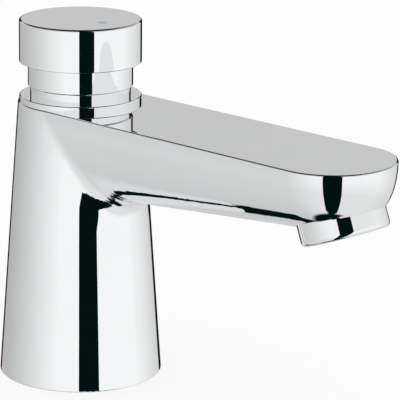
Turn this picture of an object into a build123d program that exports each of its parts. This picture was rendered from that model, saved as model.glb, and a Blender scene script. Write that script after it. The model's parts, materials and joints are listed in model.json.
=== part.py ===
from build123d import *
import os
from math import atan2, cos, hypot, pi, radians, sin, sqrt

# Push timed basin tap for one hole in a deck.
# Origin at the centre of the foot, +Z up the column, +X along the spout.

# Column of the cast body
base_radius = 24.0
rim_radius = 18.2
rim_height = 81.9
base_edge_rounding = 0.3
column_wall = 3.0
core_end_rounding = 1.5
core_end_rounding_share = 0.45

# Spout of the cast body
spout_side_inset = 0.2
spout_flat_half = 2.0
spout_reach = 113.2
spout_nose_flattening = 2.0
spout_shoulder_inset = 1.0
spout_root_depth = 27.85
spout_nose_depth = 17.2
spout_root_start = 1.0
spout_root_fullness_share = 1.83
spout_end_fullness_share = 2.2
spout_nose_fullness_share = 2.65
spout_slices = 9
crease_rounding = 6.0
top_edge_rounding = 0.5

# Outlet boss under the end of the spout
outlet_tilt = 21.0
boss_wall = 1.8
boss_length = 14.0
boss_projection = 2.15
boss_nose_setback = 0.11
boss_edge_rounding = 1.3

# Waterway cast inside the spout
waterway_start = 6.0
waterway_end_setback = 4.65
waterway_root_drop = 15.9
waterway_root_half_width = 12.0
waterway_root_half_height = 6.5
waterway_end_drop = 8.3
waterway_end_half_width = 8.5
waterway_end_half_height = 4.6

# Bores of the body, from the top down
shutter_chamber_radius = 8.5
shutter_end_gap = 0.9
waterway_bore_length = 6.5

# Clearances
fit_gap = 0.05
loose_gap = 0.1
cap_gap = 0.35
cut_overrun = 1.0

# Inlet tail, pipe thread G 1/2
tail_radius = 10.48
supply_thread_length = 15.0
thread_relief_width = 1.5
thread_relief_depth = 0.9
nut_to_relief = 0.5
tail_bore_radius = 6.5
tail_end_chamfer = 1.5
spigot_step = 1.03
tail_boss_wall = 4.5

# Base gasket, seals and strainer in the foot
gasket_thickness = 2.0
foot_rim_width = 2.2
gasket_tail_gap = 0.45
gasket_side_gap = 0.2
tail_seal_thickness = 1.5
strainer_thickness = 0.8
strainer_seat_thickness = 1.0
strainer_hole = 1.5
strainer_pitch = 2.3
strainer_rows = 5

# Fixing set under the deck
deck_thickness = 20.0
washer_radius = 18.0
washer_tail_gap = 0.3
rubber_washer_thickness = 3.0
clamp_washer_thickness = 2.0
nut_flange_radius = 16.6
nut_flange_thickness = 2.0
nut_across_flats = 27.0
nut_height = 8.0
nut_sides = 6
nut_corner_chamfer = 1.2

# Collar, neck and fixed sleeve above the column
collar_inset = 0.4
collar_bore_gap = 0.2
collar_height = 1.75
collar_edge_rounding = 0.35
neck_inset = 0.64
neck_height = 2.85
neck_edge_rounding = 0.2
sleeve_wall = 1.4
sleeve_height = 8.9
sleeve_floor = 2.0
sleeve_edge_rounding = 0.25
lock_nut_side_gap = 1.1
lock_nut_height = 2.0
lock_nut_notch_width = 2.5
lock_nut_notch_depth = 1.2
lock_nut_notches = 4

# Cartridge head
head_radius = 13.4
head_depth = 8.9
head_spigot_radius = 10.45
head_spigot_height = 4.0
head_well_radius = 6.5
head_well_depth = 2.5
timing_screw_radius = 1.25
timing_screw_length = 13.0
timing_screw_tip = 1.2
timing_screw_sink = 0.6
slot_width = 0.5
slot_depth = 0.7

# Seal rings
upper_ring_cord = 1.5
lower_ring_cord = 1.5
stem_ring_cord = 1.6
ring_groove_gap = 0.2
ring_squeeze_gap = 0.03
upper_ring_lift = 1.0
lower_ring_lift = 2.4
stem_ring_drop = 6.0

# Cartridge housing
housing_radius = 12.4
housing_nose_radius = 10.9
cylinder_radius = 10.0
cylinder_floor = 2.0
outlet_chamber_radius = 9.5
outlet_chamber_height = 10.0
seat_thickness = 2.0
seat_orifice_radius = 5.2
nose_skirt = 3.9
shoulder_lift = 1.5
window_width = 7.0
window_height = 6.0
window_lift = 3.0
window_count = 4

# Stem, piston and spring
stem_radius = 3.0
stem_foot_radius = 2.0
stem_foot_length = 6.6
stem_collar_radius = 4.2
stem_collar_height = 1.5
piston_height = 5.5
piston_top_gap = 0.5
piston_well_radius = 5.4
piston_well_depth = 1.7
clip_radius = 5.0
clip_thickness = 0.8
clip_groove_depth = 0.6
lip_seal_height = 2.0
lip_seal_depth = 1.75
lip_groove_lift = 1.2
lip_channel_width = 0.7
lip_channel_depth = 1.1
spring_radius = 6.5
spring_wire_radius = 0.55
spring_turns = 5
spring_pressed_height = 6.5
spring_seat_gap = 0.05
spring_quarters = 4

# Shutter on the foot of the stem
valve_washer_radius = 7.0
valve_washer_thickness = 2.0
valve_holder_radius = 7.4
valve_holder_thickness = 1.6
valve_nut_across_flats = 7.0
valve_nut_height = 2.6

# Push cap and what is fixed in it
cap_wall = 2.15
cap_height = 12.5
cap_rest_gap = 0.9
cap_top_thickness = 2.0
cap_top_rounding = 0.75
cap_rim_rounding = 0.3
push_travel = 6.0
carrier_thickness = 2.0
carrier_hub_radius = 6.0
carrier_hub_depth = 8.9
carrier_bead = 0.25
carrier_bead_height = 0.7
carrier_screw_web = 2.0
carrier_screw_radius = 1.5
carrier_screw_length = 8.0
carrier_screw_head_radius = 2.8
carrier_screw_head_height = 1.6
carrier_screw_head_gap = 0.4
marker_radius = 1.5
marker_thickness = 0.8
marker_offset = 9.0

# Aerator in the outlet boss
aerator_radius = 10.35
aerator_bore_depth = 8.5
outlet_bore_step = 2.45
outlet_bore_depth = 15.0
aerator_sink = 0.4
aerator_height = 6.6
aerator_wall = 1.35
aerator_lip_width = 2.55
aerator_lip_height = 1.0
aerator_key_width = 2.4
aerator_key_depth = 0.8
aerator_keys = 4
grille_height = 2.0
grille_hole = 1.5
grille_pitch = 2.1
grille_rows = 7
regulator_height = 1.8
regulator_hole_radius = 0.7
regulator_hole_ring = 5.6
regulator_holes = 8
regulator_core_radius = 3.6
regulator_core_height = 0.6
screen_height = 0.8
screen_hole = 1.3
screen_pitch = 1.9
screen_rows = 7

# Radii worked out from the sizes above
spout_half_width = rim_radius - spout_side_inset
spout_nose_radius = spout_half_width + spout_nose_flattening
spout_shoulder_radius = spout_half_width - spout_shoulder_inset
collar_radius = rim_radius - collar_inset
cap_radius = collar_radius
cap_bore_radius = cap_radius - cap_wall
sleeve_radius = cap_bore_radius - cap_gap
sleeve_bore_radius = sleeve_radius - sleeve_wall
lock_nut_radius = sleeve_bore_radius - lock_nut_side_gap
neck_radius = sleeve_radius - neck_inset
cartridge_bore_radius = head_radius + fit_gap
collar_bore_radius = head_radius + collar_bore_gap
timing_screw_offset = (head_well_radius + head_spigot_radius) / 2
nose_bore_radius = housing_nose_radius + loose_gap
piston_radius = cylinder_radius - loose_gap
spigot_radius = tail_radius - spigot_step
boss_around_tail = spigot_radius + fit_gap + tail_boss_wall
gasket_seat_radius = base_radius - foot_rim_width
aerator_bore_radius = aerator_radius + loose_gap
aerator_inner_radius = aerator_radius - aerator_wall
aerator_lip_radius = aerator_radius - aerator_lip_width
outlet_bore_radius = aerator_bore_radius - outlet_bore_step
aerator_seal_bore_radius = outlet_bore_radius + loose_gap
boss_radius = aerator_bore_radius + boss_wall

# Place of the outlet under the end of the spout
spout_slope = (spout_root_depth - spout_nose_depth) / spout_reach
outlet_x = spout_reach - boss_radius * cos(radians(outlet_tilt)) - boss_nose_setback
outlet_z = rim_height - spout_root_depth + spout_slope * outlet_x - boss_projection
waterway_end = outlet_x - waterway_end_setback

# Heights worked out from the sizes above
rubber_washer_bottom = -deck_thickness - rubber_washer_thickness
clamp_washer_bottom = rubber_washer_bottom - clamp_washer_thickness
nut_bottom = clamp_washer_bottom - nut_height
relief_bottom = nut_bottom - nut_to_relief - thread_relief_width
tail_bottom = relief_bottom - supply_thread_length
collar_top = rim_height + collar_height
neck_top = collar_top + neck_height
head_bottom = rim_height - head_depth
piston_top = head_bottom - piston_top_gap
piston_bottom = piston_top - piston_height
clip_bottom = piston_top - piston_well_depth
cylinder_bottom = piston_bottom - push_travel - spring_pressed_height
outlet_chamber_top = cylinder_bottom - cylinder_floor
seat_top = outlet_chamber_top - outlet_chamber_height
seat_face = seat_top - seat_thickness
nose_bottom = seat_face - nose_skirt
body_shoulder = seat_top + shoulder_lift
nose_bore_bottom = nose_bottom - loose_gap
shutter_chamber_bottom = seat_face - stem_foot_length - push_travel - shutter_end_gap
socket_top = shutter_chamber_bottom - waterway_bore_length
seal_top = socket_top - strainer_seat_thickness
spigot_top = seal_top - tail_seal_thickness
sleeve_top = neck_top + sleeve_height
head_top = neck_top + head_spigot_height
cap_bottom = neck_top + push_travel + cap_rest_gap
cap_top = cap_bottom + cap_height
cap_ceiling = cap_top - cap_top_thickness
carrier_bottom = cap_ceiling - carrier_thickness
hub_bottom = carrier_bottom - carrier_hub_depth + carrier_thickness
stem_top = carrier_bottom - carrier_screw_web


def turned(*outline):
    """Solid of revolution about Z from (radius, height) corners."""
    corners = [(radius, 0, height) for radius, height in outline]
    return revolve(make_face(Polyline(*corners, close=True)), Axis.Z)


def rod(radius, bottom, top, x=0):
    """Round bar or bore from one height to another."""
    return Pos(x, 0, bottom) * extrude(Circle(radius), top - bottom)


def tube(outer_radius, inner_radius, bottom, top):
    return turned(
        (inner_radius, bottom), (outer_radius, bottom), (outer_radius, top), (inner_radius, top)
    )


def seal_ring(inner_radius, cord, height):
    """O-ring whose inner radius touches the groove it lies in."""
    return Pos(0, 0, height) * Torus(inner_radius + cord / 2, cord / 2)


def rims(solid, radius, height):
    """The circular edges of a turned solid at one radius and height."""
    near = fit_gap / 2
    return [
        edge
        for edge in solid.edges().filter_by(GeomType.CIRCLE)
        if abs(edge.radius - radius) < near and abs(edge.arc_center.Z - height) < near
    ]


def around(count, shape):
    """Copies of a shape spread evenly about Z."""
    return [Rot(0, 0, 360 * index / count) * shape for index in range(count)]


def square_holes(rows, pitch, side, bottom, top, limit):
    """Square holes on a grid, kept inside a circle."""
    cutter = Pos(0, 0, bottom) * extrude(Rectangle(side, side), top - bottom)
    middle = (rows - 1) / 2
    places = [
        ((column - middle) * pitch, (row - middle) * pitch)
        for column in range(rows)
        for row in range(rows)
    ]
    return [Pos(x, y, 0) * cutter for x, y in places if hypot(x, y) + side < limit]


def column_radius(height):
    return base_radius - (base_radius - rim_radius) * height / rim_height


# Body: column, spout and outlet boss in one casting


def spout_depth(x):
    """Depth of the underside below the flat top, less towards the nose."""
    return spout_root_depth - spout_slope * x


def narrowing(sink, fullness):
    """Share of the width left at a share of the depth, from 1 at the top to 0 at the bottom."""
    return max(0, 1 - sink**fullness) ** (1 / fullness)


def spout_slice(turn):
    """Outline of the spout on a plane that tips from level at the top to the slope of the underside."""
    sink = sin(turn) ** (2 / spout_root_fullness_share)
    flat = spout_flat_half / spout_half_width
    root_scale = flat + (1 - flat) * narrowing(sink, spout_root_fullness_share)
    end_scale = flat + (1 - flat) * narrowing(sink, spout_end_fullness_share)
    nose_scale = flat + (1 - flat) * narrowing(sink, spout_nose_fullness_share)
    nose_centre = spout_reach - spout_nose_radius
    rise = spout_shoulder_inset
    shoulder_x = nose_centre + sqrt((spout_nose_radius - spout_shoulder_radius) ** 2 - rise**2)
    meeting = atan2(rise, shoulder_x - nose_centre)

    def on_slice(x, y):
        side_scale = root_scale + (end_scale - root_scale) * min(1, x / shoulder_x)
        place = shoulder_x + (x - shoulder_x) * nose_scale if x > shoulder_x else x
        return (place, y * side_scale, rim_height - sink * spout_depth(place))

    def shoulder(angle, side):
        x = shoulder_x + spout_shoulder_radius * cos(angle)
        return on_slice(x, side * (rise + spout_shoulder_radius * sin(angle)))

    middle = (meeting + pi / 2) / 2
    right_root = on_slice(spout_root_start, -spout_half_width)
    left_root = on_slice(spout_root_start, spout_half_width)
    return make_face(
        [
            Line(right_root, shoulder(pi / 2, -1)),
            ThreePointArc(shoulder(pi / 2, -1), shoulder(middle, -1), shoulder(meeting, -1)),
            ThreePointArc(shoulder(meeting, -1), on_slice(spout_reach, 0), shoulder(meeting, 1)),
            ThreePointArc(shoulder(meeting, 1), shoulder(middle, 1), shoulder(pi / 2, 1)),
            Line(shoulder(pi / 2, 1), left_root),
            Line(left_root, right_root),
        ]
    )


def faces_beside(solid, edge):
    return [face for face in solid.faces() if any(edge.is_same(other) for other in face.edges())]


def crease_edges(solid):
    """Edges where the underside and sides of the spout run into the column."""
    found = []
    for edge in solid.edges():
        kinds = [face.geom_type for face in faces_beside(solid, edge)]
        on_column = GeomType.CONE in kinds and len(kinds) > 1
        if on_column and edge.bounding_box().min.X > spout_root_start:
            found.append(edge)
    return found


outlet = Plane(
    origin=(outlet_x, 0, outlet_z),
    x_dir=(cos(radians(outlet_tilt)), 0, sin(radians(outlet_tilt))),
    z_dir=(-sin(radians(outlet_tilt)), 0, cos(radians(outlet_tilt))),
)


def cast_outside():
    slices = [spout_slice(pi / 2 * index / (spout_slices - 1)) for index in range(spout_slices)]
    column = turned((0, 0), (base_radius, 0), (rim_radius, rim_height), (0, rim_height))
    shape = column + loft(slices)
    shape = shape.fillet(crease_rounding, crease_edges(shape))
    shape = shape + outlet * rod(boss_radius, 0, boss_length)
    top = shape.faces().filter_by(Axis.Z).sort_by(Axis.Z)[-1]
    shape = shape.fillet(top_edge_rounding, top.outer_wire().edges())
    shape = shape.fillet(base_edge_rounding, rims(shape, base_radius, 0))
    mouth = [
        edge
        for edge in shape.edges().filter_by(GeomType.CIRCLE)
        if abs(edge.radius - boss_radius) < fit_gap and (edge.arc_center - outlet.origin).length < fit_gap
    ]
    return shape.fillet(boss_edge_rounding, mouth)


def waterway():
    sections = [
        Plane(origin=(waterway_start, 0, rim_height - waterway_root_drop), x_dir=(0, 1, 0), z_dir=(1, 0, 0))
        * Ellipse(waterway_root_half_width, waterway_root_half_height),
        Plane(origin=(waterway_end, 0, rim_height - waterway_end_drop), x_dir=(0, 1, 0), z_dir=(1, 0, 0))
        * Ellipse(waterway_end_half_width, waterway_end_half_height),
    ]
    return loft(sections)


def foot_hollow():
    """Cored space between the outer wall and the boss that takes the tail."""
    top = body_shoulder - column_wall
    outer = column_radius(top) - column_wall
    core = turned(
        (boss_around_tail, gasket_thickness),
        (column_radius(gasket_thickness) - column_wall, gasket_thickness),
        (outer, top),
        (boss_around_tail, top),
    )
    rounding = min(core_end_rounding, (outer - boss_around_tail) * core_end_rounding_share)
    core = core.fillet(rounding, rims(core, boss_around_tail, top) + rims(core, outer, top))
    return core + rod(gasket_seat_radius, -cut_overrun, gasket_thickness)


def tap_body():
    shape = cast_outside()
    shape = shape - rod(cartridge_bore_radius, body_shoulder, rim_height + cut_overrun)
    shape = shape - rod(nose_bore_radius, nose_bore_bottom, body_shoulder + cut_overrun)
    shape = shape - rod(shutter_chamber_radius, shutter_chamber_bottom, nose_bore_bottom + cut_overrun)
    shape = shape - rod(tail_bore_radius, socket_top - cut_overrun, shutter_chamber_bottom + cut_overrun)
    shape = shape - rod(spigot_radius + fit_gap, -cut_overrun, socket_top)
    shape = shape - foot_hollow()
    shape = shape - waterway()
    shape = shape - outlet * rod(aerator_bore_radius, -cut_overrun, aerator_bore_depth)
    return shape - outlet * rod(outlet_bore_radius, aerator_bore_depth - cut_overrun, outlet_bore_depth)


# Foot and fixing set


def inlet_tail():
    """Threaded tail with a relief groove between its fixing and supply threads."""
    relief_top = relief_bottom + thread_relief_width
    return turned(
        (tail_bore_radius, tail_bottom),
        (tail_radius - tail_end_chamfer, tail_bottom),
        (tail_radius, tail_bottom + tail_end_chamfer),
        (tail_radius, relief_bottom),
        (tail_radius - thread_relief_depth, relief_bottom),
        (tail_radius - thread_relief_depth, relief_top),
        (tail_radius, relief_top),
        (tail_radius, gasket_thickness),
        (spigot_radius, gasket_thickness),
        (spigot_radius, spigot_top),
        (tail_bore_radius, spigot_top),
    )


def base_gasket():
    outer = gasket_seat_radius - gasket_side_gap
    return tube(outer, tail_radius + gasket_tail_gap, 0, gasket_thickness)


def tail_seal():
    return tube(spigot_radius, tail_bore_radius, spigot_top, seal_top)


def inlet_strainer():
    disc = rod(spigot_radius, seal_top, seal_top + strainer_thickness)
    bottom = seal_top - cut_overrun
    holes = square_holes(
        strainer_rows, strainer_pitch, strainer_hole, bottom, socket_top + cut_overrun, tail_bore_radius
    )
    return disc - holes


def rubber_washer():
    return tube(washer_radius, tail_radius + washer_tail_gap, rubber_washer_bottom, -deck_thickness)


def clamp_washer():
    return tube(washer_radius, tail_radius + washer_tail_gap, clamp_washer_bottom, rubber_washer_bottom)


def back_nut():
    top = clamp_washer_bottom
    bottom = nut_bottom
    corner = nut_across_flats / 2 / cos(pi / nut_sides)
    hexagon = Pos(0, 0, bottom) * extrude(RegularPolygon(corner, nut_sides), nut_height)
    dome = turned(
        (0, bottom),
        (corner - nut_corner_chamfer, bottom),
        (corner, bottom + nut_corner_chamfer / 2),
        (corner, top),
        (0, top),
    )
    flange = rod(nut_flange_radius, top - nut_flange_thickness, top)
    return (hexagon & dome) + flange - rod(tail_radius + fit_gap, bottom - cut_overrun, top + cut_overrun)


# Collar, head and fixed sleeve


def top_collar():
    shape = tube(collar_radius, collar_bore_radius, rim_height, collar_top)
    return shape.fillet(collar_edge_rounding, rims(shape, collar_radius, collar_top))


def cartridge_head():
    stem_way = stem_radius + fit_gap
    ring_top = neck_top - stem_ring_drop
    ring_bottom = ring_top - stem_ring_cord - ring_groove_gap
    gland = stem_way + stem_ring_cord + ring_squeeze_gap
    groove_bottom = head_bottom + upper_ring_lift
    groove_top = groove_bottom + upper_ring_cord + ring_groove_gap
    groove_radius = cartridge_bore_radius - upper_ring_cord - 2 * ring_squeeze_gap
    well_bottom = head_top - head_well_depth
    shape = turned(
        (stem_way, head_bottom),
        (head_radius, head_bottom),
        (head_radius, groove_bottom),
        (groove_radius, groove_bottom),
        (groove_radius, groove_top),
        (head_radius, groove_top),
        (head_radius, collar_top),
        (neck_radius, collar_top),
        (neck_radius, neck_top),
        (head_spigot_radius, neck_top),
        (head_spigot_radius, head_top),
        (head_well_radius, head_top),
        (head_well_radius, well_bottom),
        (stem_way, well_bottom),
        (stem_way, ring_top),
        (gland, ring_top),
        (gland, ring_bottom),
        (stem_way, ring_bottom),
    )
    shape = shape.fillet(neck_edge_rounding, rims(shape, neck_radius, neck_top))
    screw_way = rod(
        timing_screw_radius + fit_gap, head_bottom - cut_overrun, head_top + cut_overrun, timing_screw_offset
    )
    return shape - screw_way


def upper_o_ring():
    inner = cartridge_bore_radius - upper_ring_cord - ring_squeeze_gap
    height = head_bottom + upper_ring_lift + (upper_ring_cord + ring_groove_gap) / 2
    return seal_ring(inner, upper_ring_cord, height)


def stem_o_ring():
    height = neck_top - stem_ring_drop - (stem_ring_cord + ring_groove_gap) / 2
    return seal_ring(stem_radius + fit_gap, stem_ring_cord, height)


def timing_screw():
    top = head_top - timing_screw_sink
    bottom = top - timing_screw_length
    shape = turned(
        (0, bottom),
        (timing_screw_radius - timing_screw_tip, bottom),
        (timing_screw_radius, bottom + timing_screw_tip),
        (timing_screw_radius, top),
        (0, top),
    )
    slot = Pos(0, 0, top - slot_depth) * extrude(
        Rectangle(4 * timing_screw_radius, slot_width), slot_depth + cut_overrun
    )
    return Pos(timing_screw_offset, 0, 0) * (shape - slot)


def guide_sleeve():
    bore = head_spigot_radius + fit_gap
    shape = turned(
        (bore, neck_top),
        (sleeve_radius, neck_top),
        (sleeve_radius, sleeve_top),
        (sleeve_bore_radius, sleeve_top),
        (sleeve_bore_radius, neck_top + sleeve_floor),
        (bore, neck_top + sleeve_floor),
    )
    edges = rims(shape, sleeve_radius, neck_top) + rims(shape, sleeve_radius, sleeve_top)
    return shape.fillet(sleeve_edge_rounding, edges)


def sleeve_lock_nut():
    bottom = neck_top + sleeve_floor
    top = bottom + lock_nut_height
    notch = Pos(lock_nut_radius, 0, bottom - cut_overrun) * extrude(
        Rectangle(2 * lock_nut_notch_depth, lock_nut_notch_width), lock_nut_height + 2 * cut_overrun
    )
    shape = tube(lock_nut_radius, head_spigot_radius + fit_gap, bottom, top)
    return shape - around(lock_nut_notches, notch)


# Cartridge housing with the timing cylinder, side windows and valve seat


def cartridge_housing():
    stem_way = stem_radius + fit_gap
    ring_bottom = nose_bottom + lower_ring_lift
    ring_top = ring_bottom + lower_ring_cord + ring_groove_gap
    ring_groove = nose_bore_radius - lower_ring_cord - 2 * ring_squeeze_gap
    shape = turned(
        (shutter_chamber_radius, nose_bottom),
        (housing_nose_radius, nose_bottom),
        (housing_nose_radius, ring_bottom),
        (ring_groove, ring_bottom),
        (ring_groove, ring_top),
        (housing_nose_radius, ring_top),
        (housing_nose_radius, body_shoulder),
        (housing_radius, body_shoulder),
        (housing_radius, head_bottom),
        (cylinder_radius, head_bottom),
        (cylinder_radius, cylinder_bottom),
        (stem_way, cylinder_bottom),
        (stem_way, outlet_chamber_top),
        (outlet_chamber_radius, outlet_chamber_top),
        (outlet_chamber_radius, seat_top),
        (seat_orifice_radius, seat_top),
        (seat_orifice_radius, seat_face),
        (shutter_chamber_radius, seat_face),
    )
    window = Pos((outlet_chamber_radius + housing_radius) / 2, 0, seat_top + window_lift) * extrude(
        Rectangle(housing_radius - outlet_chamber_radius + 2 * cut_overrun, window_width), window_height
    )
    return shape - around(window_count, window)


def lower_o_ring():
    inner = nose_bore_radius - lower_ring_cord - ring_squeeze_gap
    height = nose_bottom + lower_ring_lift + (lower_ring_cord + ring_groove_gap) / 2
    return seal_ring(inner, lower_ring_cord, height)


# Moving set: stem, piston, shutter, carrier and cap


def push_stem():
    groove = stem_radius - clip_groove_depth
    shape = turned(
        (0, seat_face - stem_foot_length),
        (stem_foot_radius, seat_face - stem_foot_length),
        (stem_foot_radius, seat_face),
        (stem_radius, seat_face),
        (stem_radius, piston_bottom - stem_collar_height),
        (stem_collar_radius, piston_bottom - stem_collar_height),
        (stem_collar_radius, piston_bottom),
        (stem_radius, piston_bottom),
        (stem_radius, clip_bottom),
        (groove, clip_bottom),
        (groove, clip_bottom + clip_thickness + fit_gap),
        (stem_radius, clip_bottom + clip_thickness + fit_gap),
        (stem_radius, stem_top),
        (0, stem_top),
    )
    depth = carrier_screw_length - carrier_screw_web + cut_overrun
    return shape - rod(carrier_screw_radius + fit_gap, stem_top - depth, stem_top + cut_overrun)


def timing_piston():
    bore = stem_radius + fit_gap
    groove_bottom = piston_bottom + lip_groove_lift
    groove_top = groove_bottom + lip_seal_height + 2 * fit_gap
    groove = piston_radius - lip_seal_depth - fit_gap
    return turned(
        (bore, piston_bottom),
        (piston_radius, piston_bottom),
        (piston_radius, groove_bottom),
        (groove, groove_bottom),
        (groove, groove_top),
        (piston_radius, groove_top),
        (piston_radius, piston_top),
        (piston_well_radius, piston_top),
        (piston_well_radius, clip_bottom),
        (bore, clip_bottom),
    )


def piston_clip():
    """Open retaining ring in the groove of the stem."""
    inner = stem_radius - clip_groove_depth + fit_gap
    ring = tube(clip_radius, inner, clip_bottom, clip_bottom + clip_thickness)
    mouth = Pos(clip_radius, 0, clip_bottom - cut_overrun) * extrude(
        Rectangle(2 * clip_radius, 2 * stem_foot_radius), clip_thickness + 2 * cut_overrun
    )
    return ring - mouth


def piston_seal():
    """Cup seal with its channel facing down to the timing chamber."""
    bottom = piston_bottom + lip_groove_lift + fit_gap
    top = bottom + lip_seal_height
    outer = piston_radius + fit_gap
    inner = piston_radius - lip_seal_depth
    middle = (outer + inner) / 2
    return turned(
        (inner, bottom),
        (middle - lip_channel_width / 2, bottom),
        (middle, bottom + lip_channel_depth),
        (middle + lip_channel_width / 2, bottom),
        (outer, bottom),
        (outer, top),
        (inner, top),
    )


def helix_point(turn, bottom, pitch):
    angle = 2 * pi * turn
    return Vector(spring_radius * cos(angle), spring_radius * sin(angle), bottom + pitch * turn)


def helix_direction(turn, pitch):
    angle = 2 * pi * turn
    rise = pitch / (2 * pi)
    return Vector(-spring_radius * sin(angle), spring_radius * cos(angle), rise).normalized()


def biarc(start, start_direction, end, end_direction):
    """Two arcs, tangent to each other and to the given directions."""
    chord = end - start
    sum_direction = start_direction + end_direction
    spread = 2 * (1 - start_direction.dot(end_direction))
    lean = chord.dot(sum_direction)
    reach = (sqrt(lean**2 + spread * chord.dot(chord)) - lean) / spread
    first_corner = start + start_direction * reach
    second_corner = end - end_direction * reach
    joint = (first_corner + second_corner) / 2
    return [
        TangentArc(start, joint, tangent=start_direction),
        TangentArc(joint, end, tangent=second_corner - first_corner),
    ]


def return_spring():
    lift = spring_wire_radius + spring_seat_gap
    bottom = cylinder_bottom + lift
    pitch = (piston_bottom - lift - bottom) / spring_turns
    steps = spring_turns * spring_quarters
    arcs = []
    for step in range(steps):
        start = step / spring_quarters
        end = (step + 1) / spring_quarters
        arcs += biarc(
            helix_point(start, bottom, pitch),
            helix_direction(start, pitch),
            helix_point(end, bottom, pitch),
            helix_direction(end, pitch),
        )
    print("least gap between spring turns:", round(pitch - 2 * spring_wire_radius, 3), "mm")
    section = Plane(origin=helix_point(0, bottom, pitch), z_dir=helix_direction(0, pitch))
    return sweep(section * Circle(spring_wire_radius), path=Wire(arcs))


def valve_washer():
    bottom = seat_face - valve_washer_thickness
    return tube(valve_washer_radius, stem_foot_radius + fit_gap, bottom, seat_face)


def valve_holder():
    top = seat_face - valve_washer_thickness
    return tube(valve_holder_radius, stem_foot_radius + fit_gap, top - valve_holder_thickness, top)


def valve_nut():
    top = seat_face - valve_washer_thickness - valve_holder_thickness
    bottom = top - valve_nut_height
    corner = valve_nut_across_flats / 2 / cos(pi / nut_sides)
    hexagon = Pos(0, 0, bottom) * extrude(RegularPolygon(corner, nut_sides), valve_nut_height)
    return hexagon - rod(stem_foot_radius + fit_gap, bottom - cut_overrun, top + cut_overrun)


def cap_carrier():
    bead_bottom = carrier_bottom + (carrier_thickness - carrier_bead_height) / 2
    bead_middle = bead_bottom + carrier_bead_height / 2
    bead_top = bead_bottom + carrier_bead_height
    screw_way = carrier_screw_radius + loose_gap
    head_way = carrier_screw_head_radius + carrier_screw_head_gap
    head_seat = stem_top + carrier_screw_web
    stem_way = stem_radius + fit_gap
    return turned(
        (stem_way, hub_bottom),
        (carrier_hub_radius, hub_bottom),
        (carrier_hub_radius, carrier_bottom),
        (cap_bore_radius, carrier_bottom),
        (cap_bore_radius, bead_bottom),
        (cap_bore_radius + carrier_bead, bead_middle),
        (cap_bore_radius, bead_top),
        (cap_bore_radius, cap_ceiling),
        (head_way, cap_ceiling),
        (head_way, head_seat),
        (screw_way, head_seat),
        (screw_way, stem_top),
        (stem_way, stem_top),
    )


def carrier_screw():
    head_seat = stem_top + carrier_screw_web
    head_top_height = head_seat + carrier_screw_head_height
    shape = turned(
        (0, head_seat - carrier_screw_length),
        (carrier_screw_radius, head_seat - carrier_screw_length),
        (carrier_screw_radius, head_seat),
        (carrier_screw_head_radius, head_seat),
        (carrier_screw_head_radius, head_top_height),
        (0, head_top_height),
    )
    slot = Pos(0, 0, head_top_height - slot_depth) * extrude(
        Rectangle(4 * carrier_screw_radius, slot_width), slot_depth + cut_overrun
    )
    bar = Pos(0, 0, head_top_height - slot_depth) * extrude(
        Rectangle(slot_width, 4 * carrier_screw_radius), slot_depth + cut_overrun
    )
    return shape - slot - bar


def push_cap():
    bead_bottom = carrier_bottom + (carrier_thickness - carrier_bead_height) / 2
    bead_middle = bead_bottom + carrier_bead_height / 2
    bead_top = bead_bottom + carrier_bead_height
    shape = turned(
        (0, cap_top),
        (cap_radius, cap_top),
        (cap_radius, cap_bottom),
        (cap_bore_radius, cap_bottom),
        (cap_bore_radius, bead_bottom),
        (cap_bore_radius + carrier_bead, bead_middle),
        (cap_bore_radius, bead_top),
        (cap_bore_radius, cap_ceiling),
        (0, cap_ceiling),
    )
    shape = shape.fillet(cap_top_rounding, rims(shape, cap_radius, cap_top))
    shape = shape.fillet(cap_rim_rounding, rims(shape, cap_radius, cap_bottom))
    return shape - rod(marker_radius, cap_top - marker_thickness, cap_top + cut_overrun, marker_offset)


def marker_disc():
    return rod(marker_radius, cap_top - marker_thickness, cap_top, marker_offset)


# Aerator, modelled on Z from the mouth of the boss upwards and then placed in it

aerator_top = aerator_sink + aerator_height
grille_bottom = aerator_sink + aerator_lip_height
grille_top = grille_bottom + grille_height
regulator_top = grille_top + regulator_height
screen_top = regulator_top + screen_height
insert_radius = aerator_inner_radius - fit_gap


def aerator_housing():
    shape = turned(
        (aerator_lip_radius, aerator_sink),
        (aerator_radius, aerator_sink),
        (aerator_radius, aerator_top),
        (aerator_inner_radius, aerator_top),
        (aerator_inner_radius, grille_bottom),
        (aerator_lip_radius, grille_bottom),
    )
    key = Pos(aerator_radius, 0, aerator_sink - cut_overrun) * extrude(
        Rectangle(2 * (aerator_radius - aerator_inner_radius), aerator_key_width),
        aerator_key_depth + cut_overrun,
    )
    return outlet * (shape - around(aerator_keys, key))


def aerator_grille():
    disc = rod(insert_radius, grille_bottom, grille_top)
    holes = square_holes(
        grille_rows, grille_pitch, grille_hole, grille_bottom - cut_overrun, grille_top + cut_overrun,
        aerator_lip_radius,
    )
    return outlet * (disc - holes)


def flow_regulator():
    disc = rod(insert_radius, grille_top, regulator_top)
    core = rod(regulator_core_radius, regulator_top - regulator_core_height, regulator_top + cut_overrun)
    hole = rod(
        regulator_hole_radius, grille_top - cut_overrun, regulator_top + cut_overrun, regulator_hole_ring
    )
    return outlet * (disc - core - around(regulator_holes, hole))


def aerator_screen():
    disc = rod(insert_radius, regulator_top, screen_top)
    holes = square_holes(
        screen_rows, screen_pitch, screen_hole, regulator_top - cut_overrun, screen_top + cut_overrun,
        aerator_lip_radius,
    )
    return outlet * (disc - holes)


def aerator_seal():
    return outlet * tube(aerator_radius, aerator_seal_bore_radius, aerator_top, aerator_bore_depth)


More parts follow.
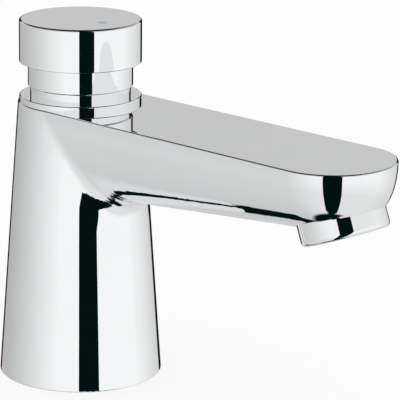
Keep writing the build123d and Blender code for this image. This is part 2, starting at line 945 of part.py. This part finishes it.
nodes = [
    tap_body,
    base_gasket,
    inlet_tail,
    tail_seal,
    inlet_strainer,
    rubber_washer,
    clamp_washer,
    back_nut,
    top_collar,
    cartridge_head,
    upper_o_ring,
    stem_o_ring,
    timing_screw,
    guide_sleeve,
    sleeve_lock_nut,
    cartridge_housing,
    lower_o_ring,
    push_stem,
    timing_piston,
    piston_clip,
    piston_seal,
    return_spring,
    valve_washer,
    valve_holder,
    valve_nut,
    cap_carrier,
    carrier_screw,
    push_cap,
    marker_disc,
    aerator_housing,
    aerator_grille,
    flow_regulator,
    aerator_screen,
    aerator_seal,
]

os.makedirs("parts", exist_ok=True)
for node in nodes:
    export_step(node(), f"parts/{node.__name__}.step")
print(len(nodes), "nodes written")
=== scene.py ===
import json
import math

import bmesh
import bpy
from mathutils import Matrix, Vector


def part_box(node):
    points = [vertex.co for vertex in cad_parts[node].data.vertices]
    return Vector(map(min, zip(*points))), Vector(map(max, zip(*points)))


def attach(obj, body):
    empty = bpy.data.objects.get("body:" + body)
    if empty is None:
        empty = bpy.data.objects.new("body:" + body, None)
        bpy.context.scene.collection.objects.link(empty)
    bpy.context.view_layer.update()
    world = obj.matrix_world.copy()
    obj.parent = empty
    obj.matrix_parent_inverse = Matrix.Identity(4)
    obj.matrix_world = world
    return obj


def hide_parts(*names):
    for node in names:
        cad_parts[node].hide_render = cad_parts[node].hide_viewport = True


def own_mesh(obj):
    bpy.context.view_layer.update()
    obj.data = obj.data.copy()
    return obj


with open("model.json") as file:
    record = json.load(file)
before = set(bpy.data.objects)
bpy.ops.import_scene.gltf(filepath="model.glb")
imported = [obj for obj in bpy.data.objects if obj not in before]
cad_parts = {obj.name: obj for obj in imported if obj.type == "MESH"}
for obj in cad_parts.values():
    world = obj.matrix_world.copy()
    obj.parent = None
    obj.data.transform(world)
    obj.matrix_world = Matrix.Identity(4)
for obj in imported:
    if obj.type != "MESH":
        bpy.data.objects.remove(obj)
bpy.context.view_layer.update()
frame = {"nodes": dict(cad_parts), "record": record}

mm = 0.001
scene = bpy.context.scene
scene.view_settings.view_transform = "Standard"


# camera of the photograph

view = {
    "azimuth": 43.02,              # angles in degrees, the azimuth from the spout's square view
    "elevation": 15.49,
    "distance": 751.2 * mm,
    "height": 51.44 * mm,          # point in the middle of the frame: above the deck, and right of the column
    "aside": 35.1 * mm,
    "roll": 0.705,
    "lens": 229.88,
    "sensor": 36.0,
    "clipStart": 10 * mm,
}


def cameraAxes(azimuth, elevation, roll):
    a, e, r = (math.radians(turn) for turn in (azimuth, elevation, roll))
    back = Vector((math.sin(a) * math.cos(e), -math.cos(a) * math.cos(e), math.sin(e)))
    level = Vector((math.cos(a), math.sin(a), 0))
    up = back.cross(level)
    return level * math.cos(r) + up * math.sin(r), up * math.cos(r) - level * math.sin(r), back


def standing(place, along, up, out):
    # a matrix that puts a shape at a place, with its x, y and z laid along three directions
    return Matrix.Translation(place) @ Matrix((along, up, out)).transposed().to_4x4()


def placeCamera():
    right, up, back = cameraAxes(view["azimuth"], view["elevation"], view["roll"])
    target = Vector((0, 0, view["height"])) + right * view["aside"]
    data = bpy.data.cameras.new("photoCamera")
    data.lens = view["lens"]
    data.sensor_width = view["sensor"]
    data.clip_start = view["clipStart"]
    camera = bpy.data.objects.new("photoCamera", data)
    scene.collection.objects.link(camera)
    camera.matrix_world = standing(target + back * view["distance"], right, up, back)
    scene.camera = camera


placeCamera()
print("camera placed")


# shades written as 0 to 255 parts

def lightOf(part):
    # the standard curve of a screen
    c = part / 255
    return c / 12.92 if c < 0.04045 else ((c + 0.055) / 1.055) ** 2.4


def paint(shade):
    return (*(lightOf(part) for part in shade), 1)


# node helpers

nodeGap = 220


def newNode(tree, kind, **settings):
    node = tree.nodes.new(kind)
    node.location = (nodeGap * len(tree.nodes), 0)
    for name, value in settings.items():
        setattr(node, name, value)
    return node


def feed(tree, socket, value):
    if isinstance(value, bpy.types.NodeSocket):
        tree.links.new(value, socket)
    else:
        socket.default_value = value


def mathNode(tree, operation, *values, clamp=False):
    node = newNode(tree, "ShaderNodeMath", operation=operation, use_clamp=clamp)
    for socket, value in zip(node.inputs, values):
        feed(tree, socket, value)
    return node.outputs[0]


def stepNode(tree, value, zero, one):
    # 0 on one side of a level and 1 on the other, smooth between
    node = newNode(tree, "ShaderNodeMapRange", interpolation_type="SMOOTHSTEP")
    feed(tree, node.inputs["Value"], value)
    node.inputs["From Min"].default_value = zero
    node.inputs["From Max"].default_value = one
    return node.outputs["Result"]


def aboveNode(tree, value, level, soft):
    return stepNode(tree, value, level - soft, level + soft)


def belowNode(tree, value, level, soft):
    return stepNode(tree, value, level + soft, level - soft)


def insideNode(tree, value, low, high, soft):
    rise = aboveNode(tree, value, low, soft)
    return mathNode(tree, "SUBTRACT", rise, aboveNode(tree, value, high, soft), clamp=True)


def rampNode(tree, value, stops):
    node = newNode(tree, "ShaderNodeValToRGB")
    ramp = node.color_ramp
    ramp.elements[0].position, ramp.elements[1].position = stops[0][0], stops[-1][0]
    for place, _ in stops[1:-1]:
        ramp.elements.new(place)
    for element, (_, level) in zip(ramp.elements, stops):
        element.color = (level, level, level, 1)
    feed(tree, node.inputs[0], value)
    return node.outputs[0]


def mixNode(tree, factor, first, second):
    node = newNode(tree, "ShaderNodeMix", data_type="RGBA")
    for name, value in (("Factor", factor), ("A", first), ("B", second)):
        feed(tree, next(s for s in node.inputs if s.name == name and s.enabled), value)
    return next(s for s in node.outputs if s.enabled)


# studio: a wide soft light in front, a darker rear and black boards

studio = {
    "plate": 0.913,                  # share of the light that the chrome gives back
    "plain": 0.95,                   # level of the light on plain surfaces
    "lightTurn": 30,                 # middle of the wide light, in degrees right of the camera
    "lightFall": (                   # turn away from that middle, and how much of the front is left there
        (0, 1), (60, 1), (90, 0.68), (120, 0.36), (150, 0.13), (180, 0),
    ),
    "front": (                       # elevation in degrees, and the grey that it shows as in the chrome
        (-90, 222), (-50, 225), (-32, 225), (-17, 245), (0, 245),
        (15, 231), (36, 212), (50, 130), (58, 26), (90, 20),
    ),
    "rear": (
        (-90, 186), (-36, 200), (-24, 196), (-15, 175), (2, 185),
        (15, 189), (21, 184), (27, 110), (34, 30), (90, 20),
    ),
    "black": (2, 18, 17),            # shade of everything black in the studio
    "limbTurn": 154,                 # dark board behind the tap, past this turn to either side
    "limbBand": (-22, 3),
    "sideBoards": (150, 171),        # turns of the two higher boards beside it
    "sideBand": (0, 17),
    "limbShade": (22, 22, 22),
    "lowStrip": (-154, -131),        # narrow black strip low behind the tap
    "lowStripTop": -31,
    "gap": (-14, 20),                # black gap in the light, under and over the camera
    "gapLow": -62,
    "gapHigh": 44,
    "underTop": -73,                 # all is black straight under the tap
    "soft": 1.5,                     # half widths of the soft edges
    "gapSoft": 6,
    "gapLowSoft": 4.5,
    "levelSoft": 3,
}


def shown(shade):
    # light of a wall that shows as this shade in the chrome
    return (*(min(1, lightOf(part) / studio["plate"]) for part in shade), 1)


def boardsNode(tree, around, height):
    # dark boards behind the tap draw its outlines
    turned = mathNode(tree, "ABSOLUTE", around)
    soft = studio["soft"]
    behind = mathNode(
        tree, "MULTIPLY",
        aboveNode(tree, turned, studio["limbTurn"], soft),
        insideNode(tree, height, *studio["limbBand"], soft),
    )
    beside = mathNode(
        tree, "MULTIPLY",
        insideNode(tree, turned, *studio["sideBoards"], soft),
        insideNode(tree, height, *studio["sideBand"], soft),
    )
    return mathNode(tree, "MAXIMUM", behind, beside)


def lowStripNode(tree, around, height):
    soft = studio["soft"]
    return mathNode(
        tree, "MULTIPLY",
        insideNode(tree, around, *studio["lowStrip"], soft),
        belowNode(tree, height, studio["lowStripTop"], soft),
    )


def darkRoomNode(tree, around, height):
    # the gap in the light at the camera, and the ground under the tap
    beyond = mathNode(
        tree, "ADD",
        belowNode(tree, height, studio["gapLow"], studio["gapLowSoft"]),
        aboveNode(tree, height, studio["gapHigh"], studio["levelSoft"]),
    )
    gap = mathNode(tree, "MULTIPLY", insideNode(tree, around, *studio["gap"], studio["gapSoft"]), beyond)
    return mathNode(tree, "MAXIMUM", gap, belowNode(tree, height, studio["underTop"], studio["levelSoft"]))


def wallsNode(tree, around, height):
    aside = mathNode(tree, "ABSOLUTE", mathNode(tree, "SUBTRACT", around, studio["lightTurn"]))
    aside = mathNode(tree, "MINIMUM", aside, mathNode(tree, "SUBTRACT", 360.0, aside))
    lightFall = [(turn / 180, level) for turn, level in studio["lightFall"]]
    fall = rampNode(tree, mathNode(tree, "DIVIDE", aside, 180.0), lightFall)
    rise = mathNode(tree, "ADD", mathNode(tree, "DIVIDE", height, 180.0), 0.5)
    front, rear = (
        rampNode(tree, rise, [(turn / 180 + 0.5, shown((grey,))[0]) for turn, grey in studio[name]])
        for name in ("front", "rear")
    )
    return mixNode(tree, fall, rear, front)


def buildWorld():
    world = bpy.data.worlds.new("studio")
    scene.world = world
    world.use_nodes = True
    tree = world.node_tree
    tree.nodes.clear()
    where = newNode(tree, "ShaderNodeTexCoord")
    turn = newNode(tree, "ShaderNodeVectorRotate", rotation_type="Z_AXIS")
    turn.inputs["Angle"].default_value = math.radians(90 - view["azimuth"])
    tree.links.new(where.outputs["Generated"], turn.inputs["Vector"])
    part = newNode(tree, "ShaderNodeSeparateXYZ")
    tree.links.new(turn.outputs[0], part.inputs[0])
    around = mathNode(tree, "DEGREES", mathNode(tree, "ARCTAN2", part.outputs["Y"], part.outputs["X"]))
    height = mathNode(tree, "DEGREES", mathNode(tree, "ARCSINE", part.outputs["Z"]))
    walls = wallsNode(tree, around, height)
    walls = mixNode(tree, boardsNode(tree, around, height), walls, shown(studio["limbShade"]))
    walls = mixNode(tree, lowStripNode(tree, around, height), walls, shown(studio["black"]))
    walls = mixNode(tree, darkRoomNode(tree, around, height), walls, shown(studio["black"]))
    ray = newNode(tree, "ShaderNodeLightPath")
    plain = studio["plain"]
    seen = mixNode(tree, ray.outputs["Is Glossy Ray"], (plain, plain, plain, 1), walls)
    seen = mixNode(tree, ray.outputs["Is Camera Ray"], seen, (1, 1, 1, 1))
    light = newNode(tree, "ShaderNodeBackground")
    tree.links.new(seen, light.inputs["Color"])
    out = newNode(tree, "ShaderNodeOutputWorld")
    tree.links.new(light.outputs[0], out.inputs["Surface"])


def stageObject(name, bm, material):
    mesh = bpy.data.meshes.new(name)
    bm.to_mesh(mesh)
    bm.free()
    mesh.materials.append(material)
    obj = bpy.data.objects.new(name, mesh)
    scene.collection.objects.link(obj)
    return obj


def emptyMaterial(name):
    material = bpy.data.materials.new(name)
    material.use_nodes = True
    material.node_tree.nodes.clear()
    return material, material.node_tree


# black flag that the chrome mirrors as one dark upright stripe
flag = {
    "left": (1 * mm, 320 * mm),        # edges in plan: right of the camera's line, and towards the camera
    "right": (140 * mm, 268 * mm),
    "bottom": -480 * mm,
    "top": 420 * mm,
}


def buildFlag():
    toRight, _, toCamera = cameraAxes(view["azimuth"], 0, 0)
    left, right = (toRight * flag[side][0] + toCamera * flag[side][1] for side in ("left", "right"))
    middle = (left + right) / 2 + Vector((0, 0, (flag["bottom"] + flag["top"]) / 2))
    across = (right - left) / 2
    upright = Vector((0, 0, (flag["top"] - flag["bottom"]) / 2))
    place = standing(middle, across, upright, across.cross(upright).normalized())
    bm = bmesh.new()
    bmesh.ops.create_grid(bm, x_segments=1, y_segments=1, size=1, matrix=place)
    material, tree = emptyMaterial("flagBlack")
    glow = newNode(tree, "ShaderNodeEmission")
    glow.inputs["Color"].default_value = shown(studio["black"])
    out = newNode(tree, "ShaderNodeOutputMaterial")
    tree.links.new(glow.outputs[0], out.inputs["Surface"])
    obj = stageObject("flag", bm, material)
    obj.visible_camera = obj.visible_diffuse = obj.visible_shadow = False


# pale floor that keeps the shadow and lets mirrored light through
floor = {
    "halfWidth": 4000 * mm,
    "colour": (0.97, 0.97, 0.97, 1),
    "white": 0.8,          # share of plain white that the camera sees, the rest holds the shadow
}


def buildFloor():
    bm = bmesh.new()
    bmesh.ops.create_grid(bm, x_segments=1, y_segments=1, size=floor["halfWidth"])
    material, tree = emptyMaterial("paleFloor")
    links = tree.links
    diffuse = newNode(tree, "ShaderNodeBsdfDiffuse")
    diffuse.inputs["Color"].default_value = floor["colour"]
    white = newNode(tree, "ShaderNodeEmission")
    clear = newNode(tree, "ShaderNodeBsdfTransparent")
    ray = newNode(tree, "ShaderNodeLightPath")
    seen = newNode(tree, "ShaderNodeMixShader")
    links.new(mathNode(tree, "MULTIPLY", ray.outputs["Is Camera Ray"], floor["white"]), seen.inputs[0])
    links.new(diffuse.outputs[0], seen.inputs[1])
    links.new(white.outputs[0], seen.inputs[2])
    through = mathNode(tree, "MAXIMUM", ray.outputs["Is Glossy Ray"], ray.outputs["Is Transmission Ray"])
    mirrored = newNode(tree, "ShaderNodeMixShader")
    links.new(through, mirrored.inputs[0])
    links.new(seen.outputs[0], mirrored.inputs[1])
    links.new(clear.outputs[0], mirrored.inputs[2])
    out = newNode(tree, "ShaderNodeOutputMaterial")
    links.new(mirrored.outputs[0], out.inputs["Surface"])
    stageObject("floor", bm, material)


buildWorld()
buildFlag()
buildFloor()
print("studio built")


# finishes

def newGroup(name, inputs, outputs):
    group = bpy.data.node_groups.new(name, "ShaderNodeTree")
    for label, value in inputs:
        socket = group.interface.new_socket(name=label, in_out="INPUT", socket_type="NodeSocketFloat")
        socket.default_value = value
    for label in outputs:
        group.interface.new_socket(name=label, in_out="OUTPUT", socket_type="NodeSocketFloat")
    return group, newNode(group, "NodeGroupInput"), newNode(group, "NodeGroupOutput")


# fine grain of a polished, moulded or rubbed surface, over a broad drift
grain = {
    "fineDetail": 3,
    "broadDetail": 2,
    "fineShare": 0.45,
    "broadShare": 0.55,
    "spread": (0.35, 0.65),         # part of the noise that the finish uses
}


def grainGroup():
    group, given, out = newGroup(
        "surfaceGrain", (("Grain Scale", 900), ("Drift Scale", 45), ("Smooth", 0.01), ("Rough", 0.03)),
        ("Roughness", "Height", "Drift"),
    )
    links = group.links
    where = newNode(group, "ShaderNodeTexCoord")
    fine = newNode(group, "ShaderNodeTexNoise")
    broad = newNode(group, "ShaderNodeTexNoise")
    for noise, scale, detail in ((fine, "Grain Scale", "fineDetail"), (broad, "Drift Scale", "broadDetail")):
        noise.inputs["Detail"].default_value = grain[detail]
        links.new(where.outputs["Object"], noise.inputs["Vector"])
        links.new(given.outputs[scale], noise.inputs["Scale"])
    both = mathNode(
        group, "ADD",
        mathNode(group, "MULTIPLY", fine.outputs[0], grain["fineShare"]),
        mathNode(group, "MULTIPLY", broad.outputs[0], grain["broadShare"]),
    )
    spread = newNode(group, "ShaderNodeMapRange")
    spread.inputs["From Min"].default_value, spread.inputs["From Max"].default_value = grain["spread"]
    links.new(both, spread.inputs["Value"])
    links.new(given.outputs["Smooth"], spread.inputs["To Min"])
    links.new(given.outputs["Rough"], spread.inputs["To Max"])
    links.new(spread.outputs["Result"], out.inputs["Roughness"])
    links.new(fine.outputs[0], out.inputs["Height"])
    links.new(stepNode(group, broad.outputs[0], *grain["spread"]), out.inputs["Drift"])
    return group


# rings that the lathe leaves on a turned face or side
turning = {
    "noiseScale": 220,
    "ringShare": 0.5,
    "grainShare": 0.35,             # grain that is left under the rings
}


def turningGroup():
    group, given, out = newGroup("turningRings", (("Ring Pitch", 0.25 * mm), ("Break Up", 0.4)), ("Height",))
    links = group.links
    where = newNode(group, "ShaderNodeTexCoord")
    part = newNode(group, "ShaderNodeSeparateXYZ")
    links.new(where.outputs["Object"], part.inputs[0])
    square = mathNode(
        group, "ADD",
        mathNode(group, "POWER", part.outputs["X"], 2.0),
        mathNode(group, "POWER", part.outputs["Y"], 2.0),
    )
    along = mathNode(group, "ADD", mathNode(group, "SQRT", square), part.outputs["Z"])
    turns = mathNode(group, "MULTIPLY", along, 2 * math.pi)
    rings = mathNode(group, "SINE", mathNode(group, "DIVIDE", turns, given.outputs["Ring Pitch"]))
    noise = newNode(group, "ShaderNodeTexNoise")
    noise.inputs["Scale"].default_value = turning["noiseScale"]
    links.new(where.outputs["Object"], noise.inputs["Vector"])
    uneven = mathNode(group, "MULTIPLY", noise.outputs[0], given.outputs["Break Up"])
    rings = mathNode(group, "MULTIPLY", rings, turning["ringShare"])
    links.new(mathNode(group, "ADD", rings, uneven), out.inputs["Height"])
    return group


surfaceGrain = grainGroup()
turningRings = turningGroup()


def finishMaterial(name, look):
    material = bpy.data.materials.new(name)
    material.use_nodes = True
    tree = material.node_tree
    shader = tree.nodes["Principled BSDF"]
    shader.inputs["Metallic"].default_value = look.get("metal", 0.0)
    shader.inputs["Coat Weight"].default_value = look.get("coat", 0.0)
    surface = newNode(tree, "ShaderNodeGroup", node_tree=surfaceGrain)
    for label, value in (
        ("Grain Scale", look["grain"]), ("Drift Scale", look["drift"]),
        ("Smooth", look["rough"][0]), ("Rough", look["rough"][1]),
    ):
        surface.inputs[label].default_value = value
    shade = mixNode(tree, surface.outputs["Drift"], paint(look["dark"]), paint(look["light"]))
    tree.links.new(shade, shader.inputs["Base Color"])
    tree.links.new(surface.outputs["Roughness"], shader.inputs["Roughness"])
    height = surface.outputs["Height"]
    if "rings" in look:
        lathe = newNode(tree, "ShaderNodeGroup", node_tree=turningRings)
        lathe.inputs["Ring Pitch"].default_value = look["rings"]
        left = mathNode(tree, "MULTIPLY", height, turning["grainShare"])
        height = mathNode(tree, "ADD", left, lathe.outputs["Height"])
    relief = newNode(tree, "ShaderNodeBump")
    relief.inputs["Strength"].default_value = 1.0
    relief.inputs["Distance"].default_value = look["relief"]
    tree.links.new(height, relief.inputs["Height"])
    tree.links.new(relief.outputs["Normal"], shader.inputs["Normal"])
    return material


# In each finish, light and dark are the shades that it drifts between, rough is its smoothest and dullest
# roughness, grain and drift are noise scales, relief is the height of the grain and rings the lathe's pitch.

# polished chrome plate over a buffed casting
chromePlate = {
    "metal": 1.0,
    "light": (244, 245, 246),
    "dark": (243, 244, 245),
    "rough": (0.008, 0.018),
    "grain": 1400,
    "drift": 38,
    "relief": 0.0002 * mm,
}
# turned brass, a little dulled
turnedBrass = {
    "metal": 1.0,
    "light": (226, 190, 118),
    "dark": (204, 163, 92),
    "rough": (0.22, 0.36),
    "grain": 1500,
    "drift": 130,
    "relief": 0.004 * mm,
    "rings": 0.3 * mm,
}
# plain stainless steel, pressed or drawn
plainSteel = {
    "metal": 1.0,
    "light": (200, 202, 204),
    "dark": (180, 183, 186),
    "rough": (0.24, 0.38),
    "grain": 2200,
    "drift": 160,
    "relief": 0.003 * mm,
    "rings": 0.2 * mm,
}
# moulded acetal of the cartridge
whiteAcetal = {
    "light": (226, 226, 218),
    "dark": (217, 217, 208),
    "rough": (0.34, 0.5),
    "grain": 2600,
    "drift": 120,
    "relief": 0.006 * mm,
}
# moulded grey plastic of the carrier and the aerator
greyMoulding = {
    "light": (102, 107, 114),
    "dark": (92, 97, 104),
    "rough": (0.38, 0.56),
    "grain": 2400,
    "drift": 150,
    "relief": 0.008 * mm,
}
# moulded rubber of the gasket, washers and rings
sealRubber = {
    "light": (52, 52, 55),
    "dark": (40, 40, 43),
    "rough": (0.55, 0.78),
    "grain": 1900,
    "drift": 90,
    "relief": 0.012 * mm,
}
# glossy blue insert of the cap
blueInsert = {
    "light": (128, 154, 186),
    "dark": (120, 148, 181),
    "rough": (0.12, 0.2),
    "grain": 3200,
    "drift": 500,
    "relief": 0.001 * mm,
    "coat": 0.5,
}

finishes = {
    slot: finishMaterial(name, look)
    for slot, name, look in (
        ("chrome", "chromePlate", chromePlate),
        ("brass", "turnedBrass", turnedBrass),
        ("steel", "plainSteel", plainSteel),
        ("white_plastic", "whiteAcetal", whiteAcetal),
        ("grey_plastic", "greyMoulding", greyMoulding),
        ("rubber", "sealRubber", sealRubber),
        ("blue_marker", "blueInsert", blueInsert),
    )
}
for part in frame["record"]["subparts"]:
    slots = frame["nodes"][part["node"]].data.materials
    slots.clear()
    slots.append(finishes[part["material_slot"]])
print("finishes built:", len(finishes))


# pieces that the scene makes in place of plain solids

def addPiece(name, bm, slot, replaced):
    bmesh.ops.recalc_face_normals(bm, faces=bm.faces)
    mesh = bpy.data.meshes.new(name)
    bm.to_mesh(mesh)
    bm.free()
    mesh.materials.append(finishes[slot])
    obj = bpy.data.objects.new(name, mesh)
    scene.collection.objects.link(obj)
    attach(obj, "root")
    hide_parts(replaced)
    return obj


def boxSpan(node):
    # the corners of a node's box, and half its width
    low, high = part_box(node)
    return low, high, (high[0] - low[0]) / 2


# inlet tail with its two G 1/2 threads
tail = {
    "pitch": 1.814 * mm,
    "depth": 0.9 * mm,
    "profileShares": (             # shares of the pitch along and of the depth out
        (0, 0), (0.158, 0), (0.417, 1), (0.583, 1), (0.842, 0), (1, 0),
    ),
    "leadTurns": 1.5,              # thread wound past the end and cut off again
    "steps": 72,                   # steps round the tail
    "bore": 6.5 * mm,              # radius of the waterway
    "core": 8.4 * mm,              # radius of the tube under the threads
    "reliefWidth": 1.5 * mm,
    "nutToRelief": 0.5 * mm,
    "chamfer": 1.5 * mm,
    "weld": 0.001 * mm,
    "closeWeld": 0.0001 * mm,
}


def pullIn(vert, reach):
    # moves a vertex straight in to this reach from the axis
    share = reach / Vector(vert.co[:2]).length
    vert.co.x *= share
    vert.co.y *= share


def threadedSleeve(low, high, radius, chamfer):
    # a thread profile wound round the tail, cut square at both ends and closed inwards
    bm = bmesh.new()
    root = radius - tail["depth"]
    start = low - tail["leadTurns"] * tail["pitch"]
    turns = math.ceil((high - low) / tail["pitch"] + tail["leadTurns"])
    profile = [
        bm.verts.new((root + out * tail["depth"], 0, start + along * tail["pitch"]))
        for along, out in tail["profileShares"]
    ]
    edges = [bm.edges.new(pair) for pair in zip(profile, profile[1:])]
    bmesh.ops.spin(bm, geom=profile + edges, axis=(0, 0, 1), cent=(0, 0, 0), angle=2 * math.pi * turns,
                   steps=tail["steps"] * turns, dvec=(0, 0, tail["pitch"] / tail["steps"]))
    bmesh.ops.remove_doubles(bm, verts=bm.verts, dist=tail["weld"])
    for vert in bm.verts:
        limit = radius - chamfer + max(0, vert.co.z - low)        # the chamfer at the lower end
        if Vector(vert.co[:2]).length > limit:
            pullIn(vert, limit)
    rims = []
    for level, normal in ((low, (0, 0, -1)), (high, (0, 0, 1))):
        cut = bmesh.ops.bisect_plane(bm, geom=bm.verts[:] + bm.edges[:] + bm.faces[:], dist=tail["closeWeld"],
                                     plane_co=(0, 0, level), plane_no=normal, clear_outer=True)
        rim = [item for item in cut["geom_cut"] if isinstance(item, bmesh.types.BMEdge)]
        grown = bmesh.ops.extrude_edge_only(bm, edges=rim)["geom"]
        inner = [item for item in grown if isinstance(item, bmesh.types.BMVert)]
        for vert in inner:
            pullIn(vert, tail["core"])
        rims += [
            item for item in grown
            if isinstance(item, bmesh.types.BMEdge) and all(vert in inner for vert in item.verts)
        ]
    bmesh.ops.bridge_loops(bm, edges=rims)
    return bm


def turnedProfile(bm, corners):
    # a closed outline of (radius, height) corners turned round the axis
    verts = [bm.verts.new((radius, 0, height)) for radius, height in corners]
    edges = [bm.edges.new(pair) for pair in zip(verts, verts[1:] + verts[:1])]
    bmesh.ops.spin(bm, geom=verts + edges, axis=(0, 0, 1), cent=(0, 0, 0), angle=2 * math.pi,
                   steps=tail["steps"], use_merge=True)
    bmesh.ops.remove_doubles(bm, verts=bm.verts, dist=tail["closeWeld"])


def buildTail():
    low, high, radius = boxSpan("inlet_tail")
    spigot = boxSpan("tail_seal")[2]
    shoulder = boxSpan("base_gasket")[1][2]
    reliefTop = boxSpan("back_nut")[0][2] - tail["nutToRelief"]
    reliefBottom = reliefTop - tail["reliefWidth"]
    relief = radius - tail["depth"]
    bm = bmesh.new()
    turnedProfile(bm, (
        (tail["bore"], low[2]), (tail["core"], low[2]), (tail["core"], reliefBottom), (relief, reliefBottom),
        (relief, reliefTop), (tail["core"], reliefTop), (tail["core"], shoulder), (spigot, shoulder),
        (spigot, high[2]), (tail["bore"], high[2]),
    ))
    for bottom, top, chamfer in ((low[2], reliefBottom, tail["chamfer"]), (reliefTop, shoulder, 0)):
        sleeve = threadedSleeve(bottom, top, radius, chamfer)
        part = bpy.data.meshes.new("threadedSleeve")
        sleeve.to_mesh(part)
        sleeve.free()
        bm.from_mesh(part)
        bpy.data.meshes.remove(part)
    return addPiece("threadedTail", bm, "brass", "inlet_tail")


# return spring, which the cap draws together as it goes down; built here as a coil of one fixed length
coil = {
    "radius": 6.5 * mm,
    "wire": 0.55 * mm,             # radius of the wire
    "turns": 5,
    "steps": 40,                   # steps in a turn
    "sides": 12,
}


def buildSpring():
    low, high, _ = boxSpan("return_spring")
    bottom, top = low[2] + coil["wire"], high[2] - coil["wire"]
    steps = coil["turns"] * coil["steps"]
    bm = bmesh.new()
    stand = Matrix.Translation((coil["radius"], 0, bottom)) @ Matrix.Rotation(math.pi / 2, 4, "X")
    bmesh.ops.create_circle(bm, segments=coil["sides"], radius=coil["wire"], matrix=stand)
    bmesh.ops.spin(bm, geom=bm.verts[:] + bm.edges[:], axis=(0, 0, 1), cent=(0, 0, 0), steps=steps,
                   angle=2 * math.pi * coil["turns"], dvec=(0, 0, (top - bottom) / steps))
    bmesh.ops.holes_fill(bm, edges=bm.edges)
    for face in bm.faces:
        face.smooth = len(face.verts) == 4
    spring = addPiece("springCoil", bm, "steel", "return_spring")
    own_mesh(spring)


threadedTail = buildTail()
buildSpring()
print("threads and spring built")

# the deck hides what is under it from the chrome above
threadedTail.visible_glossy = False
for name in ("back_nut", "clamp_washer", "rubber_washer"):
    frame["nodes"][name].visible_glossy = False
